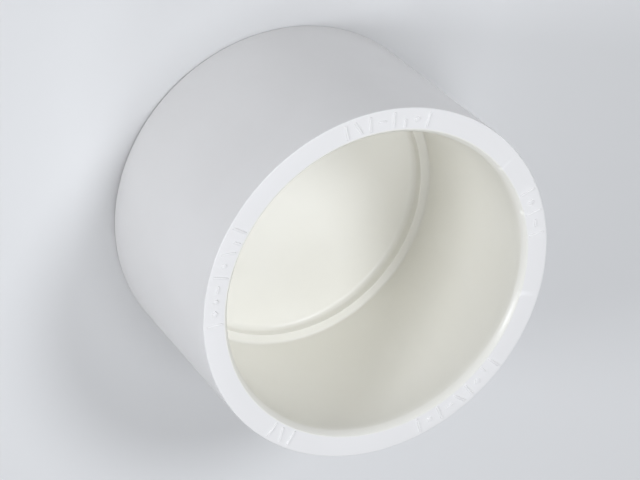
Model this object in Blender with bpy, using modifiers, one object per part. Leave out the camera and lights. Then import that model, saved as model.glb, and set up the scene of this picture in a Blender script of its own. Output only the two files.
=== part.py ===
"""Solvent-weld end cap for 50 mm pressure pipe, moulded in one piece in rigid white PVC.

The cap stands on its closed end: the origin is the centre of that end's outer face and +Z is
the axis of the cap, towards its mouth. The body is one turned profile. The rim's raised mould
marks, plain ticks, dots, dashes and diamonds, are pads that are joined to it.
Lengths are in metres and angles in degrees.
"""
import math

import bmesh
import bpy
from mathutils import Matrix

# The pipe that goes into the cap, and how the socket fits it
PIPE_DIAMETER = 0.06035
MOUTH_CLEARANCE = 0.00045       # on diameter, where the pipe enters
ROOT_SQUEEZE = 0.00020          # on diameter, where the tapered socket grips the pipe's end
SOCKET_DEPTH = 0.0371           # rim to stop ledge

# The moulding
WALL = 0.0051                   # at the mouth
END_THICKNESS = 0.0060          # closed end, under the stop ledge
OUTER_DRAFT = 0.0004            # the outside is this much smaller in radius at the closed end
RIM_EDGE = 0.00020              # rounding of the rim's outer edge
BACK_EDGE = 0.00050             # rounding of the closed end's outer edge

# Lead-in at the mouth's inner edge: a slightly bulged chamfer
LEAD_IN_DEPTH = 0.0012
LEAD_IN_WIDTH = 0.00084
LEAD_IN_BULGE = 0.00008

# Stop ledge and the dished recess inside it
LEDGE_WIDTH = 0.00195
ROOT_FILLET = 0.00050
LIP_EDGE = 0.00012
DISH_WALL_HEIGHT = 0.0024       # ledge down to the edge of the dish
DISH_FILLET = 0.0012
DISH_SAG = 0.00045              # the dish's middle lies this much below its edge

# Gate mark left by moulding, sunk in the middle of the closed end's outer face
GATE_RADIUS = 0.0050
GATE_DEPTH = 0.00045
GATE_NUB_RADIUS = 0.0016
GATE_NUB_HEIGHT = 0.00030

# Raised marks on the rim
MARK_RELIEF = 0.00020
MARK_SINK = 0.00030             # how far a pad reaches into the rim, for a clean join
MARK_HEIGHT = 0.0031            # radial size of a full tick
MARK_STROKE = 0.00042
MARK_PITCH = 4.1                # degrees from mark to mark
MARK_TAPER = 0.72               # top of a pad against its foot
MARK_GROUPS = (                 # middle of the group in degrees round the axis, and its marks
    (81.0, "tick dot tick dash slant tick diamond stub tick"),
    (12.0, "tick slant tick"),
    (303.5, "tick stub slant dot tick dash dot diamond tick"),
    (227.0, "tick dot stub tick dash tick slant tick"),
    (153.5, "tick dash tick diamond tick"),
)

ROUND_STEPS = 96
ARC_STEPS = 4

# Radii and heights worked out from the sizes above
BORE_MOUTH_R = (PIPE_DIAMETER + MOUTH_CLEARANCE) / 2
BORE_ROOT_R = (PIPE_DIAMETER - ROOT_SQUEEZE) / 2
OUTER_R = BORE_MOUTH_R + WALL
BACK_R = OUTER_R - OUTER_DRAFT
LIP_R = BORE_ROOT_R - LEDGE_WIDTH
HEIGHT = END_THICKNESS + SOCKET_DEPTH
RIM_INNER_R = BORE_MOUTH_R + LEAD_IN_WIDTH
MARK_R = (RIM_INNER_R + OUTER_R - RIM_EDGE) / 2


def clear_scene():
    """Empty the file of objects."""
    for old in list(bpy.data.objects):
        bpy.data.objects.remove(old, do_unlink=True)


def arc(centre_r, centre_z, radius, start, end, steps=ARC_STEPS):
    """Points of an arc in the profile's plane, from one angle to another."""
    points = []
    for i in range(steps + 1):
        angle = math.radians(start + (end - start) * i / steps)
        points.append((centre_r + radius * math.cos(angle), centre_z + radius * math.sin(angle)))
    return points


def dish_points(steps=6):
    """The recess: its shallow dish from the axis outwards, and the fillet up to its wall."""
    edge_z = END_THICKNESS - DISH_WALL_HEIGHT
    edge_r = LIP_R - DISH_FILLET
    points = []
    for i in range(steps):
        share = i / steps
        points.append((edge_r * share, edge_z - DISH_SAG * (1 - share ** 2)))
    return points + arc(edge_r, edge_z + DISH_FILLET, DISH_FILLET, -90, -8)


def ledge_points():
    """The recess's rounded lip, the flat stop ledge and the fillet at the socket's root."""
    lip = arc(LIP_R + LIP_EDGE, END_THICKNESS - LIP_EDGE, LIP_EDGE, 180, 90, 2)
    root = arc(BORE_ROOT_R - ROOT_FILLET, END_THICKNESS + ROOT_FILLET, ROOT_FILLET, -90, 0, 3)
    return lip + root


def lead_in_points(steps=4):
    """The bulged chamfer from the bore up to the rim."""
    slope = math.hypot(LEAD_IN_DEPTH, LEAD_IN_WIDTH)
    points = []
    for i in range(steps + 1):
        share = i / steps
        bulge = LEAD_IN_BULGE * math.sin(math.pi * share)
        r = BORE_MOUTH_R + LEAD_IN_WIDTH * share - bulge * LEAD_IN_DEPTH / slope
        z = HEIGHT - LEAD_IN_DEPTH * (1 - share) + bulge * LEAD_IN_WIDTH / slope
        points.append((r, z))
    return points


def outside_points():
    """The rim's outer edge, the drafted outer wall and the rounded edge of the closed end."""
    rim_edge = arc(OUTER_R - RIM_EDGE, HEIGHT - RIM_EDGE, RIM_EDGE, 90, 0, 2)
    back_edge = arc(BACK_R - BACK_EDGE, BACK_EDGE, BACK_EDGE, 0, -90)
    return rim_edge + back_edge


def gate_points():
    """The sunk gate mark with its nub, from its edge in to the axis."""
    nub_z = GATE_DEPTH - GATE_NUB_HEIGHT
    return [
        (GATE_RADIUS, 0.0),
        (GATE_RADIUS - GATE_DEPTH, GATE_DEPTH),
        (GATE_NUB_RADIUS, GATE_DEPTH),
        (GATE_NUB_RADIUS - GATE_NUB_HEIGHT / 2, nub_z),
        (0.0, nub_z),
    ]


def turned(name, points, steps=ROUND_STEPS):
    """An object turned about Z from a profile of (radius, height) points."""
    mesh = bpy.data.meshes.new(name)
    bm = bmesh.new()
    verts = [bm.verts.new((r, 0.0, z)) for r, z in points]
    for first, second in zip(verts, verts[1:]):
        bm.edges.new((first, second))
    bm.to_mesh(mesh)
    bm.free()
    obj = bpy.data.objects.new(name, mesh)
    screw = obj.modifiers.new("Turn", 'SCREW')
    screw.axis = 'Z'
    screw.steps = steps
    screw.render_steps = steps
    screw.use_merge_vertices = True
    screw.merge_threshold = 0.00001
    return obj


def add_pad(bm, sides, radial, around, spin=0.0, shift=0.0, place=Matrix()):
    """A tapered prism on the rim, `radial` by `around` in size, shifted outwards and spun."""
    flat = math.cos(math.pi / sides) if sides == 4 else 1.0
    turn_corners = Matrix.Rotation(math.pi / 4 if sides == 4 else 0.0, 4, 'Z')
    size = Matrix.Diagonal((radial / 2 / flat, around / 2 / flat, 1.0, 1.0))
    rise = Matrix.Translation((MARK_R + shift, 0.0, HEIGHT + (MARK_RELIEF - MARK_SINK) / 2))
    spun = Matrix.Rotation(math.radians(spin), 4, 'Z')
    bmesh.ops.create_cone(
        bm, cap_ends=True, segments=sides, radius1=1.0, radius2=MARK_TAPER,
        depth=MARK_RELIEF + MARK_SINK, matrix=place @ rise @ spun @ size @ turn_corners,
    )


def add_mark(bm, kind, azimuth):
    """One mark of the named kind, with its long way along the rim's radius."""
    place = Matrix.Rotation(math.radians(azimuth), 4, 'Z')
    if kind == "tick":
        add_pad(bm, 4, MARK_HEIGHT, MARK_STROKE, place=place)
    elif kind == "stub":
        add_pad(bm, 4, MARK_HEIGHT / 2, MARK_STROKE, shift=-MARK_HEIGHT / 4, place=place)
    elif kind == "slant":
        add_pad(bm, 4, MARK_HEIGHT * 0.95, MARK_STROKE, spin=22.0, place=place)
    elif kind == "dash":
        add_pad(bm, 4, MARK_STROKE, MARK_HEIGHT / 2, place=place)
    elif kind == "dot":
        add_pad(bm, 12, MARK_HEIGHT * 0.32, MARK_HEIGHT * 0.32, place=place)
    elif kind == "diamond":
        add_pad(bm, 4, MARK_HEIGHT * 0.30, MARK_HEIGHT * 0.30, spin=45.0, place=place)
    else:
        raise ValueError(kind)


def rim_marks():
    """All the raised marks as one object, a group of separate pads."""
    bm = bmesh.new()
    for middle, kinds in MARK_GROUPS:
        names = kinds.split()
        for i, kind in enumerate(names):
            add_mark(bm, kind, middle + MARK_PITCH * (i - (len(names) - 1) / 2))
    mesh = bpy.data.meshes.new("rim_marks")
    bm.to_mesh(mesh)
    bm.free()
    return bpy.data.objects.new("rim_marks", mesh)


def white_pvc():
    """Satin white rigid PVC."""
    material = bpy.data.materials.new("white_pvc")
    material.use_nodes = True
    shader = material.node_tree.nodes["Principled BSDF"]
    shader.inputs["Base Color"].default_value = (0.86, 0.86, 0.83, 1.0)
    shader.inputs["Roughness"].default_value = 0.38
    shader.inputs["Metallic"].default_value = 0.0
    return material


def join(obj, operand, tools):
    """Union an operand with an object, and keep the operand among the tools."""
    tools.objects.link(operand)
    operand.hide_render = True
    operand.display_type = 'WIRE'
    union = obj.modifiers.new("Join " + operand.name, 'BOOLEAN')
    union.operation = 'UNION'
    union.solver = 'EXACT'
    union.object = operand


def settle(obj, crease=30.0):
    """Apply an object's modifiers, and shade it smooth except across its creases."""
    graph = bpy.context.evaluated_depsgraph_get()
    mesh = bpy.data.meshes.new_from_object(obj.evaluated_get(graph))
    obj.modifiers.clear()
    obj.data = mesh
    mesh.name = obj.name
    mesh.shade_smooth()
    mesh.set_sharp_from_angle(angle=math.radians(crease))


def build():
    clear_scene()
    parts = bpy.data.collections.new("pipe_cap")
    tools = bpy.data.collections.new("pipe_cap_tools")
    bpy.context.scene.collection.children.link(parts)
    bpy.context.scene.collection.children.link(tools)

    profile = (dish_points() + ledge_points() + lead_in_points()
               + outside_points() + gate_points())
    body = turned("cap_body", profile)
    body.data.materials.append(white_pvc())
    parts.objects.link(body)
    join(body, rim_marks(), tools)
    settle(body)


build()
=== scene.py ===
"""The looks of a 50 mm PVC pipe cap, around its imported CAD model: metres, +Z up, mouth upwards.

One piece, pipe_cap, stands for the CAD node cap_body. It is the same moulding with a fine surface.
"""
import math

import bpy
from mathutils import Matrix, Vector
from mathutils.geometry import delaunay_2d_cdt


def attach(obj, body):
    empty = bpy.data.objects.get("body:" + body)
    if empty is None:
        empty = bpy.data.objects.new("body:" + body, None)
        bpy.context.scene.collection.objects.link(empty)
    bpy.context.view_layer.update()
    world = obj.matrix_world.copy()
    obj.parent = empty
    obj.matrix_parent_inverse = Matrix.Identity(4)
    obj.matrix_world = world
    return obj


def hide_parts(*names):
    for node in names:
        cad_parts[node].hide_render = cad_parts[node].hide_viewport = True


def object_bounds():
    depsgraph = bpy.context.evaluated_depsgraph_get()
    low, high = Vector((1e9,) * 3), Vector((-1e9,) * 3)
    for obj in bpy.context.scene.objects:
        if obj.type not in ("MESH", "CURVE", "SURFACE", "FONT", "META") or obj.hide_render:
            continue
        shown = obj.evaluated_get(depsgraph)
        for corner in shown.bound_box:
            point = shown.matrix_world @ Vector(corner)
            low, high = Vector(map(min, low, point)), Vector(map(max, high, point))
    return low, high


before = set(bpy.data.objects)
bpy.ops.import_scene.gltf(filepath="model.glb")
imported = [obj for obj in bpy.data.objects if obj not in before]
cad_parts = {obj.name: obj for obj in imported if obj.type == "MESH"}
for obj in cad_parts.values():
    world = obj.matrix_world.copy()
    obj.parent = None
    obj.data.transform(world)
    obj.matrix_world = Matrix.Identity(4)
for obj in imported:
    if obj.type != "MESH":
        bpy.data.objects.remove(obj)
cad_low, cad_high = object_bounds()

# ---- Sizes, as in the CAD model ----
MARK_RELIEF = 0.00020
LEDGE_Z = 0.0060
OUTER_R = cad_high.x
HEIGHT = cad_high.z - MARK_RELIEF
WALL = 0.0051
OUTER_DRAFT = 0.0004
BORE_MOUTH_R = OUTER_R - WALL
BORE_ROOT_R = 0.030075
RIM_EDGE = 0.00020
BACK_EDGE = 0.00050
LEAD_IN_DEPTH = 0.0012
LEAD_IN_WIDTH = 0.00084
LEAD_IN_BULGE = 0.00008
RIM_INNER_R = BORE_MOUTH_R + LEAD_IN_WIDTH
RIM_BORDER = 0.00030            # plain strip along the rim's inner edge
LEDGE_WIDTH = 0.00195
ROOT_FILLET = 0.00050
LIP_EDGE = 0.00012
DISH_WALL_HEIGHT = 0.0024
DISH_FILLET = 0.0012
DISH_SAG = 0.00045
GATE_RADIUS = 0.0050
GATE_DEPTH = 0.00045
GATE_NUB_RADIUS = 0.0016
GATE_NUB_HEIGHT = 0.00030
MARK_HEIGHT = 0.0031
MARK_STROKE = 0.00042
MARK_PITCH = 4.1
MARK_R = (RIM_INNER_R + OUTER_R - RIM_EDGE) / 2
MARK_GROUPS = (
    (81.0, "tick dot tick dash slant tick diamond stub tick"),
    (12.0, "tick slant tick"),
    (303.5, "tick stub slant dot tick dash dot diamond tick"),
    (227.0, "tick dot stub tick dash tick slant tick"),
    (153.5, "tick dash tick diamond tick"),
)

# Cross-section of a mark's edge: how far outside its outline, and how high above the rim
MARK_SECTION = ((0.00007, 0.0), (0.00003, 0.00003), (0.0, 0.00008), (-0.00002, 0.00015),
                (-0.00006, 0.00018), (-0.00012, MARK_RELIEF))

# Dents on the rim's inner edge: azimuth in degrees, radius of the dent and its depth
NICKS = ((176.6, 0.00045, 0.00016), (155.6, 0.00060, 0.00020), (123.6, 0.00050, 0.00016))

# ---- Fineness of the mesh ----
ROUND_STEPS = 640
PROFILE_STEPS = 24              # along the dish and along each wall
LEAD_IN_STEPS = 12
GATE_STEPS = 12
SMOOTH_UP_TO = 32               # degrees between faces

# ---- The plastic: linear colours, and texture scales per metre ----
OUTSIDE_WHITE = (0.920, 0.908, 0.900, 1.0)
OUTSIDE_CLOUD = (0.905, 0.893, 0.884, 1.0)
# The inside colours are creamier than the outside: painted warm shade, standing in for light bounced
# round inside the socket
INSIDE_WHITE_PAINTED_SHADE = (0.940, 0.926, 0.868, 1.0)
INSIDE_CLOUD_PAINTED_SHADE = (0.930, 0.915, 0.852, 1.0)
SPECK = (0.42, 0.37, 0.30, 1.0)
SPECK_STRENGTH = 0.55
SPECK_SHARE = 0.04              # share of the cells that hold a speck
SPECK_SIZE = 0.030              # of a cell
SPECK_SCALE = 150.0
CLOUD_SCALE = 55.0
ROUGHNESS = 0.29
ROUGHNESS_SPREAD = 0.03
ROUGHNESS_SCALE = 60.0
PEEL_SCALE = 260.0
RING_SCALE = 130.0
RING_SHARE = 0.15               # of the orange peel's height
RELIEF = 0.000010
PVC_IOR = 1.53

# ---- Floor and lights ----
FLOOR_HALF = 12.0
FLOOR_GAP = 0.0001              # keeps the floor and the closed end from lying in one plane
FLOOR_COLOUR = (0.8, 0.8, 0.8, 1.0)
FLOOR_ROUGHNESS = 0.9
LIGHT_DISTANCE = 0.8
LIGHT_SIZE = 0.25
LIGHT_COLOUR = (0.92, 0.95, 1.0)
LIGHTS = {                      # azimuth and elevation in degrees, and power in watts
    "key": (195, 60, 2.25),
    "top": (0, 90, 1.5),
    "front": (45, 60, 0.75),
    "low": (310, 25, 2.25),
}
AMBIENT = 0.15

# ---- Camera ----
CAMERA_LENS = 159.7
CAMERA_AT = Vector((0.0, -0.32604, 0.45245))
CAMERA_AIM = Vector((0.00132, -0.00071, 0.02102))
CAMERA_ROLL = -133.23


def arc(centre_r, centre_z, radius, start, end, steps=8):
    """Points of an arc in the profile's plane, from one angle in degrees to another."""
    points = []
    for i in range(steps + 1):
        angle = math.radians(start + (end - start) * i / steps)
        points.append((centre_r + radius * math.cos(angle), centre_z + radius * math.sin(angle)))
    return points


def between(first, last, steps):
    """Evenly spaced points strictly between two points of the profile."""
    points = []
    for i in range(1, steps):
        share = i / steps
        points.append(tuple(a + (b - a) * share for a, b in zip(first, last)))
    return points


def inside_profile():
    """From the middle of the dished recess out over the stop ledge and up to the rim."""
    lip_r = BORE_ROOT_R - LEDGE_WIDTH
    edge_r = lip_r - DISH_FILLET
    edge_z = LEDGE_Z - DISH_WALL_HEIGHT
    points = []
    for i in range(PROFILE_STEPS):
        share = i / PROFILE_STEPS
        points.append((edge_r * share, edge_z - DISH_SAG * (1 - share ** 2)))
    points += arc(edge_r, edge_z + DISH_FILLET, DISH_FILLET, -90, -8, 12)
    points += arc(lip_r + LIP_EDGE, LEDGE_Z - LIP_EDGE, LIP_EDGE, 180, 90, 5)
    points += arc(BORE_ROOT_R - ROOT_FILLET, LEDGE_Z + ROOT_FILLET, ROOT_FILLET, -90, 0, 7)
    slope = math.hypot(LEAD_IN_DEPTH, LEAD_IN_WIDTH)
    lead_in = []
    for i in range(LEAD_IN_STEPS + 1):
        share = i / LEAD_IN_STEPS
        bulge = LEAD_IN_BULGE * math.sin(math.pi * share)
        lead_in.append((
            BORE_MOUTH_R + LEAD_IN_WIDTH * share - bulge * LEAD_IN_DEPTH / slope,
            HEIGHT - LEAD_IN_DEPTH * (1 - share) + bulge * LEAD_IN_WIDTH / slope,
        ))
    return points + between(points[-1], lead_in[0], PROFILE_STEPS) + lead_in


def outside_profile():
    """From the rim's outer edge down the drafted wall and in to the middle of the closed end."""
    back_r = OUTER_R - OUTER_DRAFT
    points = arc(OUTER_R - RIM_EDGE, HEIGHT - RIM_EDGE, RIM_EDGE, 90, 0, 6)
    back = arc(back_r - BACK_EDGE, BACK_EDGE, BACK_EDGE, 0, -90, 8)
    points += between(points[-1], back[0], PROFILE_STEPS) + back
    nub_z = GATE_DEPTH - GATE_NUB_HEIGHT
    gate = [
        (GATE_RADIUS, 0.0),
        (GATE_RADIUS - GATE_DEPTH, GATE_DEPTH),
        (GATE_NUB_RADIUS, GATE_DEPTH),
        (GATE_NUB_RADIUS - GATE_NUB_HEIGHT / 2, nub_z),
        (0.0, nub_z),
    ]
    return points + between(points[-1], gate[0], GATE_STEPS) + gate


class Surface:
    """A mesh under construction: points and faces, and rings of points joined by quads."""

    def __init__(self):
        self.points = []
        self.faces = []

    def ring(self, points):
        start = len(self.points)
        self.points += points
        return list(range(start, len(self.points)))

    def turned_ring(self, r, z):
        turns = [2 * math.pi * i / ROUND_STEPS for i in range(ROUND_STEPS)]
        return self.ring([(r * math.cos(t), r * math.sin(t), z) for t in turns])

    def bridge(self, first, second):
        count = len(first)
        for i in range(count):
            j = (i + 1) % count
            self.faces.append((first[i], first[j], second[j], second[i]))

    def fan(self, ring, tip, flip=False):
        for i, corner in enumerate(ring):
            face = (corner, ring[(i + 1) % len(ring)], tip)
            self.faces.append(face[::-1] if flip else face)

    def turn(self, profile):
        """Turn a profile; an end on the axis closes in a fan. Returns the first and last rings."""
        rings = []
        for r, z in profile:
            if r > 1e-7:
                rings.append(self.turned_ring(r, z))
            else:
                rings.append(self.ring([(0.0, 0.0, z)])[0])
        for first, second in zip(rings, rings[1:]):
            if isinstance(first, int):
                self.fan(second, first)
            elif isinstance(second, int):
                self.fan(first, second, flip=True)
            else:
                self.bridge(second, first)
        return rings[0], rings[-1]


def stadium(length, width, steps=7):
    """Outline of a rounded bar, long along X, counter-clockwise."""
    half = max(0.0, (length - width) / 2)
    points = []
    for side, start in ((1, -90), (-1, 90)):
        for i in range(steps + 1):
            angle = math.radians(start + 180 * i / steps)
            points.append((side * half + width / 2 * math.cos(angle), width / 2 * math.sin(angle)))
    return points


def mark_outline(kind, grow):
    """Outline of a mark, grown by a margin, about the middle of the rim, X outwards."""
    stroke = MARK_STROKE + 2 * grow
    shift, spin = 0.0, 0.0
    if kind == "tick":
        outline = stadium(MARK_HEIGHT + 2 * grow, stroke)
    elif kind == "stub":
        outline = stadium(MARK_HEIGHT / 2 + 2 * grow, stroke)
        shift = -MARK_HEIGHT / 4
    elif kind == "slant":
        outline = stadium(MARK_HEIGHT * 0.95 + 2 * grow, stroke)
        spin = 22.0
    elif kind == "dash":
        outline = stadium(MARK_HEIGHT / 2 + 2 * grow, stroke)
        spin = 90.0
    elif kind == "dot":
        across = MARK_HEIGHT * 0.32 + 2 * grow
        outline = stadium(across, across)
    else:
        half = MARK_HEIGHT * 0.30 / math.sqrt(2) + grow * 1.3
        outline = [(half, 0.0), (0.0, half), (-half, 0.0), (0.0, -half)]
        outline = [
            tuple(a + (b - a) * share for a, b in zip(outline[k], outline[(k + 1) % 4]))
            for k in range(4) for share in (0.08, 0.36, 0.64, 0.92)
        ]
    turn = Matrix.Rotation(math.radians(spin), 2)
    return [turn @ Vector(p) + Vector((shift, 0.0)) for p in outline]


def mark_ring(kind, azimuth, grow, z):
    """A mark's outline in place on the rim, at a height."""
    turn = Matrix.Rotation(math.radians(azimuth), 2)
    placed = [turn @ (p + Vector((MARK_R, 0.0))) for p in mark_outline(kind, grow)]
    return [(p.x, p.y, z) for p in placed]


def all_marks():
    """(kind, azimuth) of each mark."""
    for middle, kinds in MARK_GROUPS:
        names = kinds.split()
        for i, kind in enumerate(names):
            yield kind, middle + MARK_PITCH * (i - (len(names) - 1) / 2)


def build_rim(surface, inner, outer):
    """The flat rim between two rings, with the raised marks growing out of it."""
    feet = []
    for kind, azimuth in all_marks():
        rings = [
            surface.ring(mark_ring(kind, azimuth, grow, HEIGHT + rise))
            for grow, rise in MARK_SECTION
        ]
        for first, second in zip(rings, rings[1:]):
            surface.bridge(first, second)
        surface.faces.append(tuple(rings[-1]))
        feet.append(rings[0])
    loops = [inner, outer] + feet
    used = [i for loop in loops for i in loop]
    flat = [Vector(surface.points[i][:2]) for i in used]
    edges = []
    start = 0
    for loop in loops:
        count = len(loop)
        edges += [(start + i, start + (i + 1) % count) for i in range(count)]
        start += count
    verts, _, triangles, origin, _, _ = delaunay_2d_cdt(flat, edges, [], 0, 1e-9)
    owner = {}
    for new, olds in enumerate(origin):
        owner[new] = olds[0]
    loop_of = [k for k, loop in enumerate(loops) for _ in loop]
    for triangle in triangles:
        olds = [owner[i] for i in triangle]
        kinds = {loop_of[i] for i in olds}
        if len(kinds) == 1 and kinds != {1}:
            continue
        if kinds == {1}:
            middle = sum((flat[i] for i in olds), Vector((0.0, 0.0))) / 3
            if middle.length < RIM_INNER_R + RIM_BORDER:
                continue
        surface.faces.append(tuple(used[i] for i in olds))


def dent(surface):
    """Push small nicks into the lead-in's upper edge, which is the last ring made so far."""
    for k, (x, y, z) in enumerate(surface.points):
        r = math.hypot(x, y)
        if z < HEIGHT - LEAD_IN_DEPTH:
            continue
        for azimuth, size, depth in NICKS:
            a = math.radians(azimuth)
            apart = math.dist((x, y, z), (RIM_INNER_R * math.cos(a), RIM_INNER_R * math.sin(a), HEIGHT))
            if apart < size:
                push = depth * (1 - (apart / size) ** 2)
                grow = 1 + push / r
                surface.points[k] = (x * grow, y * grow, z - push)


def mark_zones(mesh, inside_count):
    """Point attributes for the material: the socket's inside, where the painted warm shade goes, and
    the dished end in it.
    """
    inside = mesh.attributes.new("inside", 'FLOAT', 'POINT')
    dish = mesh.attributes.new("dish", 'FLOAT', 'POINT')
    for k, point in enumerate(mesh.vertices):
        if k < inside_count:
            inside.data[k].value = 1.0
            dish.data[k].value = 1.0 if point.co.z < LEDGE_Z - LIP_EDGE else 0.0


def build_cap():
    """The whole moulding as one closed mesh."""
    surface = Surface()
    _, edge = surface.turn(inside_profile())
    inside_count = len(surface.points)
    dent(surface)
    inner = surface.turned_ring(RIM_INNER_R + RIM_BORDER, HEIGHT)
    surface.bridge(inner, edge)
    outer, _ = surface.turn(outside_profile())
    build_rim(surface, inner, outer)
    mesh = bpy.data.meshes.new("pipe_cap")
    mesh.from_pydata(surface.points, [], surface.faces)
    mark_zones(mesh, inside_count)
    mesh.shade_smooth()
    mesh.set_sharp_from_angle(angle=math.radians(SMOOTH_UP_TO))
    cap = bpy.data.objects.new("pipe_cap", mesh)
    bpy.context.scene.collection.objects.link(cap)
    return cap


class Nodes:
    """Short calls to build a node tree."""

    def __init__(self, tree):
        self.tree = tree

    def add(self, kind, inputs=None, **settings):
        node = self.tree.nodes.new("ShaderNode" + kind)
        for name, value in settings.items():
            setattr(node, name, value)
        for name, value in (inputs or {}).items():
            self.feed(node, name, value)
        return node

    def feed(self, node, name, value):
        if isinstance(value, bpy.types.NodeSocket):
            self.tree.links.new(value, node.inputs[name])
        else:
            node.inputs[name].default_value = value

    def noise(self, vector, scale, detail):
        return self.add("TexNoise", {
            "Vector": vector, "Scale": scale, "Detail": detail, "Roughness": 0.5,
        }).outputs["Fac"]

    def ranged(self, value, low, high, to_low, to_high):
        return self.add("MapRange", {
            "Value": value, "From Min": low, "From Max": high, "To Min": to_low, "To Max": to_high,
        }, interpolation_type='SMOOTHSTEP').outputs["Result"]

    def math(self, operation, first, second):
        return self.add("Math", {0: first, 1: second}, operation=operation).outputs["Value"]

    def blend(self, share, first, second):
        mix = self.add("Mix", data_type='RGBA')
        self.feed(mix, 0, share)
        self.feed(mix, 6, first)
        self.feed(mix, 7, second)
        return mix.outputs[2]


def white_pvc():
    """Satin white rigid PVC, as moulded: mottled white, orange peel, tool marks and a few specks, with
    painted warm shade on the inside.
    """
    material = bpy.data.materials.new("white_pvc")
    material.use_nodes = True
    nodes = Nodes(material.node_tree)
    shader = material.node_tree.nodes["Principled BSDF"]
    place = nodes.add("TexCoord").outputs["Object"]
    inside = nodes.add("Attribute", attribute_name="inside").outputs["Fac"]

    # Colour: resin white with faint flow clouds, a little creamier inside as painted warm shade
    # standing in for light bounced round the socket, and grey-brown specks
    clouds = nodes.ranged(nodes.noise(place, CLOUD_SCALE, 3.0), 0.35, 0.65, 0.0, 1.0)
    outside_white = nodes.blend(clouds, OUTSIDE_WHITE, OUTSIDE_CLOUD)
    inside_white_painted_shade = nodes.blend(clouds, INSIDE_WHITE_PAINTED_SHADE, INSIDE_CLOUD_PAINTED_SHADE)
    white = nodes.blend(inside, outside_white, inside_white_painted_shade)
    cells = nodes.add("TexVoronoi", {"Vector": place, "Scale": SPECK_SCALE})
    pick = nodes.add("SeparateColor", {"Color": cells.outputs["Color"]}).outputs["Red"]
    radius = nodes.ranged(pick, 1.0 - SPECK_SHARE, 1.0, 0.0, SPECK_SIZE)
    speck = nodes.math('LESS_THAN', cells.outputs["Distance"], radius)
    faint = nodes.math('MULTIPLY', speck, SPECK_STRENGTH)
    nodes.feed(shader, "Base Color", nodes.blend(faint, white, SPECK))

    # Gloss: satin, slightly uneven
    patches = nodes.noise(place, ROUGHNESS_SCALE, 1.0)
    uneven = nodes.math('MULTIPLY_ADD', patches, ROUGHNESS_SPREAD)
    uneven.node.inputs[2].default_value = ROUGHNESS - ROUGHNESS_SPREAD / 2
    nodes.feed(shader, "Roughness", uneven)
    shader.inputs["IOR"].default_value = PVC_IOR

    # Relief: a soft orange peel all over, and the core's turned rings on the dished end
    peel = nodes.noise(place, PEEL_SCALE, 1.0)
    rings = nodes.add("TexWave", {
        "Vector": place, "Scale": RING_SCALE, "Distortion": 1.2, "Detail": 1.0, "Detail Scale": 0.3,
    }, wave_type='RINGS', rings_direction='Z').outputs["Fac"]
    dish = nodes.add("Attribute", attribute_name="dish").outputs["Fac"]
    ringed = nodes.math('MULTIPLY', nodes.math('MULTIPLY', rings, dish), RING_SHARE)
    bump = nodes.add("Bump", {
        "Height": nodes.math('ADD', peel, ringed), "Distance": RELIEF, "Strength": 1.0,
    })
    nodes.feed(shader, "Normal", bump.outputs["Normal"])
    return material


def build_floor():
    """A plain pale floor under the cap. It isn't part of the object."""
    mesh = bpy.data.meshes.new("floor")
    half, low = FLOOR_HALF, -FLOOR_GAP
    corners = [(-half, -half, low), (half, -half, low), (half, half, low), (-half, half, low)]
    mesh.from_pydata(corners, [], [(0, 1, 2, 3)])
    floor = bpy.data.objects.new("floor", mesh)
    bpy.context.scene.collection.objects.link(floor)
    material = bpy.data.materials.new("pale_floor")
    material.use_nodes = True
    shader = material.node_tree.nodes["Principled BSDF"]
    shader.inputs["Base Color"].default_value = FLOOR_COLOUR
    shader.inputs["Roughness"].default_value = FLOOR_ROUGHNESS
    mesh.materials.append(material)


def softbox(name, azimuth, elevation, watts):
    """A soft round light at an azimuth and elevation in degrees round the cap, facing it."""
    data = bpy.data.lights.new(name, 'AREA')
    data.shape = 'DISK'
    data.size = LIGHT_SIZE
    data.energy = watts
    data.color = LIGHT_COLOUR
    light = bpy.data.objects.new(name, data)
    a, e = math.radians(azimuth), math.radians(elevation)
    direction = Vector((math.cos(a) * math.cos(e), math.sin(a) * math.cos(e), math.sin(e)))
    light.location = Vector((0, 0, HEIGHT / 2)) + direction * LIGHT_DISTANCE
    light.rotation_mode = 'QUATERNION'
    light.rotation_quaternion = direction.to_track_quat('Z', 'Y')
    bpy.context.scene.collection.objects.link(light)


def build_world():
    """A weak, even white light from all round."""
    world = bpy.data.worlds.new("studio")
    world.use_nodes = True
    background = world.node_tree.nodes["Background"]
    background.inputs["Color"].default_value = (1.0, 1.0, 1.0, 1.0)
    background.inputs["Strength"].default_value = AMBIENT
    bpy.context.scene.world = world


def build_camera():
    """A long lens, aimed at the cap and rolled."""
    data = bpy.data.cameras.new("camera")
    data.lens = CAMERA_LENS
    data.sensor_width = 36.0
    data.clip_start = 0.01
    data.clip_end = 50.0
    camera = bpy.data.objects.new("camera", data)
    camera.location = CAMERA_AT
    look = (CAMERA_AIM - CAMERA_AT).to_track_quat('-Z', 'Y')
    roll = Matrix.Rotation(math.radians(CAMERA_ROLL), 4, 'Z').to_quaternion()
    camera.rotation_mode = 'QUATERNION'
    camera.rotation_quaternion = look @ roll.inverted()
    bpy.context.scene.collection.objects.link(camera)
    bpy.context.scene.camera = camera


cap = build_cap()
cap.data.materials.append(white_pvc())
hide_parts("cap_body")
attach(cap, "root")
build_floor()
build_camera()
build_world()
for light, placing in LIGHTS.items():
    softbox(light, *placing)
bpy.context.scene.view_settings.view_transform = 'Standard'
